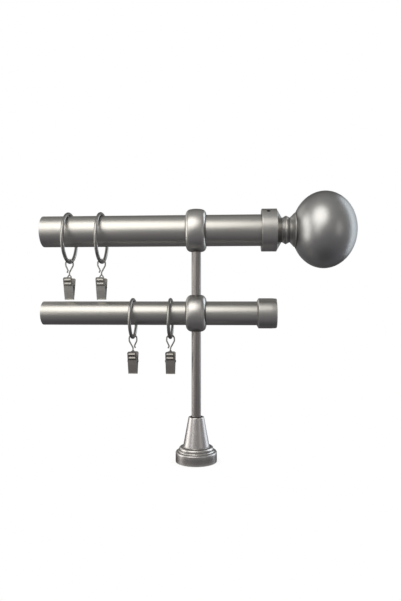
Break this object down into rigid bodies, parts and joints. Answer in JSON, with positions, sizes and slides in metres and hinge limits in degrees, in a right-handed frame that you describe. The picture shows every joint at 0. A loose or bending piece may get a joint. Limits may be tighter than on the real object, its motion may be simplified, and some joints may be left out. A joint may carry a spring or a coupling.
{
  "type": "double curtain pole",
  "caption": "Double curtain pole end on a stepped wall arm: a thick pole with a ball finial outside a thin pole with an end cap, both with sliding rings and spring clips.",
  "frame": {"origin": "middle of the wall plate's wall face, on the arm's axis", "axes": "+Z out from the wall along the arm, +X along both poles towards the finial"},
  "size_m": [0.2505, 0.0606, 0.2144],
  "materials": {
    "satin_pole": "satin nickel plate, finely brushed along the pole",
    "satin_casting": "satin nickel plate on turned and cast pieces",
    "satin_ball": "satin nickel plate, smooth",
    "arm_rod": "satin nickel plated rod",
    "ring_wire": "satin nickel plated wire",
    "hook_wire": "bright nickel plated wire",
    "clip_sheet": "bright nickel plated sheet",
    "clip_pin": "dull steel rivet",
    "spring_wire": "oiled spring steel",
    "grub_steel": "blackened steel",
    "zinc_plate": "bright zinc plate"
  },
  "bodies": {
    "bracket_and_poles": {"front_pole": "satin_pole", "rear_pole": "satin_pole", "front_holder": "satin_casting", "front_holder_grub_screw": "grub_steel", "rear_holder": "satin_casting", "rear_holder_grub_screw": "grub_steel", "rear_arm_rod": "arm_rod", "front_arm_rod": "arm_rod", "wall_plate": "zinc_plate", "finial_collar": "satin_casting", "finial_grub_screw": "grub_steel", "finial_ball": "satin_ball", "finial_stud": "zinc_plate", "end_cap": "satin_casting"},
    "wall_cover": {"wall_cover": "satin_casting"},
    "front_ring_1": {"front_ring_1": "ring_wire"},
    "front_ring_1_hook": {"front_ring_1_hook": "hook_wire"},
    "front_ring_1_clip": {"front_ring_1_clip_front": "clip_sheet", "front_ring_1_clip_pin": "clip_pin", "front_ring_1_clip_spring": "spring_wire"},
    "front_ring_1_clip_back": {"front_ring_1_clip_back": "clip_sheet"},
    "front_ring_2": {"front_ring_2": "ring_wire"},
    "front_ring_2_hook": {"front_ring_2_hook": "hook_wire"},
    "front_ring_2_clip": {"front_ring_2_clip_front": "clip_sheet", "front_ring_2_clip_pin": "clip_pin", "front_ring_2_clip_spring": "spring_wire"},
    "front_ring_2_clip_back": {"front_ring_2_clip_back": "clip_sheet"},
    "rear_ring_1": {"rear_ring_1": "ring_wire"},
    "rear_ring_1_hook": {"rear_ring_1_hook": "hook_wire"},
    "rear_ring_1_clip": {"rear_ring_1_clip_front": "clip_sheet", "rear_ring_1_clip_pin": "clip_pin", "rear_ring_1_clip_spring": "spring_wire"},
    "rear_ring_1_clip_back": {"rear_ring_1_clip_back": "clip_sheet"},
    "rear_ring_2": {"rear_ring_2": "ring_wire"},
    "rear_ring_2_hook": {"rear_ring_2_hook": "hook_wire"},
    "rear_ring_2_clip": {"rear_ring_2_clip_front": "clip_sheet", "rear_ring_2_clip_pin": "clip_pin", "rear_ring_2_clip_spring": "spring_wire"},
    "rear_ring_2_clip_back": {"rear_ring_2_clip_back": "clip_sheet"}
  },
  "joints": [
    {"name": "wall_cover_slide", "type": "slide", "parent": "bracket_and_poles", "child": "wall_cover", "axis": [0, 0, 1], "range_m": [0, 0.032]},
    {"name": "front_ring_1_slide", "type": "slide", "parent": "bracket_and_poles", "child": "front_ring_1", "axis": [1, 0, 0], "range_m": [-0.017, 0.014]},
    {"name": "front_ring_1_hook_swing", "type": "hinge", "parent": "front_ring_1", "child": "front_ring_1_hook", "pos_m": [-0.1032, 0, 0.1583], "axis": [0, 1, 0], "range_deg": [-25, 25]},
    {"name": "front_ring_1_clip_tilt", "type": "hinge", "parent": "front_ring_1_hook", "child": "front_ring_1_clip", "pos_m": [-0.1032, 0, 0.139], "axis": [1, 0, 0], "range_deg": [-8, 8]},
    {"name": "front_ring_1_clip_open", "type": "hinge", "parent": "front_ring_1_clip", "child": "front_ring_1_clip_back", "pos_m": [-0.1032, 0, 0.139], "axis": [1, 0, 0], "range_deg": [0, 18], "stiffness_Nm_per_rad": 0.01, "springref_deg": -17.19},
    {"name": "front_ring_2_slide", "type": "slide", "parent": "bracket_and_poles", "child": "front_ring_2", "axis": [1, 0, 0], "range_m": [-0.014, 0.018]},
    {"name": "front_ring_2_hook_swing", "type": "hinge", "parent": "front_ring_2", "child": "front_ring_2_hook", "pos_m": [-0.0768, 0, 0.1583], "axis": [0, 1, 0], "range_deg": [-25, 25]},
    {"name": "front_ring_2_clip_tilt", "type": "hinge", "parent": "front_ring_2_hook", "child": "front_ring_2_clip", "pos_m": [-0.0768, 0, 0.139], "axis": [1, 0, 0], "range_deg": [-8, 8]},
    {"name": "front_ring_2_clip_open", "type": "hinge", "parent": "front_ring_2_clip", "child": "front_ring_2_clip_back", "pos_m": [-0.0768, 0, 0.139], "axis": [1, 0, 0], "range_deg": [0, 18], "stiffness_Nm_per_rad": 0.01, "springref_deg": -17.19},
    {"name": "rear_ring_1_slide", "type": "slide", "parent": "bracket_and_poles", "child": "rear_ring_1", "axis": [1, 0, 0], "range_m": [-0.014, 0.012]},
    {"name": "rear_ring_1_hook_swing", "type": "hinge", "parent": "rear_ring_1", "child": "rear_ring_1_hook", "pos_m": [-0.0511, 0, 0.0975], "axis": [0, 1, 0], "range_deg": [-25, 25]},
    {"name": "rear_ring_1_clip_tilt", "type": "hinge", "parent": "rear_ring_1_hook", "child": "rear_ring_1_clip", "pos_m": [-0.0511, 0, 0.0796], "axis": [1, 0, 0], "range_deg": [-8, 8]},
    {"name": "rear_ring_1_clip_open", "type": "hinge", "parent": "rear_ring_1_clip", "child": "rear_ring_1_clip_back", "pos_m": [-0.0511, 0, 0.0796], "axis": [1, 0, 0], "range_deg": [0, 18], "stiffness_Nm_per_rad": 0.01, "springref_deg": -17.19},
    {"name": "rear_ring_2_slide", "type": "slide", "parent": "bracket_and_poles", "child": "rear_ring_2", "axis": [1, 0, 0], "range_m": [-0.014, 0.009]},
    {"name": "rear_ring_2_hook_swing", "type": "hinge", "parent": "rear_ring_2", "child": "rear_ring_2_hook", "pos_m": [-0.0207, 0, 0.0975], "axis": [0, 1, 0], "range_deg": [-25, 25]},
    {"name": "rear_ring_2_clip_tilt", "type": "hinge", "parent": "rear_ring_2_hook", "child": "rear_ring_2_clip", "pos_m": [-0.0207, 0, 0.0796], "axis": [1, 0, 0], "range_deg": [-8, 8]},
    {"name": "rear_ring_2_clip_open", "type": "hinge", "parent": "rear_ring_2_clip", "child": "rear_ring_2_clip_back", "pos_m": [-0.0207, 0, 0.0796], "axis": [1, 0, 0], "range_deg": [0, 18], "stiffness_Nm_per_rad": 0.01, "springref_deg": -17.19}
  ]
}
